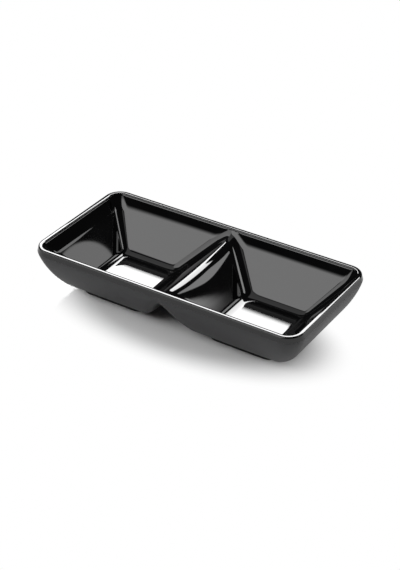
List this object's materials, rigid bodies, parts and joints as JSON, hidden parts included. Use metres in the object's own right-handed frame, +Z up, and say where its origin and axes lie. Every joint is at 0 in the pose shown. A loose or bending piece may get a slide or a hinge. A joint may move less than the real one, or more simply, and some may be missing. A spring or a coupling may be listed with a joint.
{
  "type": "divided serving bowl",
  "caption": "Long rounded dish with square sloping wells side by side, a low rounded ridge between them, a gloss inside, a matt outside and low foot rings.",
  "frame": {"origin": "on the table under the middle of the dish", "axes": "+X along the dish towards the right well, +Y across it towards the far long side, +Z up"},
  "size_m": [0.1914, 0.0914, 0.035],
  "materials": {
    "matt_body": "fine even matt texture, dark charcoal",
    "gloss_liner": "smooth high gloss, black",
    "foot": "plain satin, black"
  },
  "bodies": {
    "root": {"outer_shell": "matt_body", "inner_liner": "gloss_liner", "left_foot_ring": "foot", "right_foot_ring": "foot"}
  },
  "joints": []
}
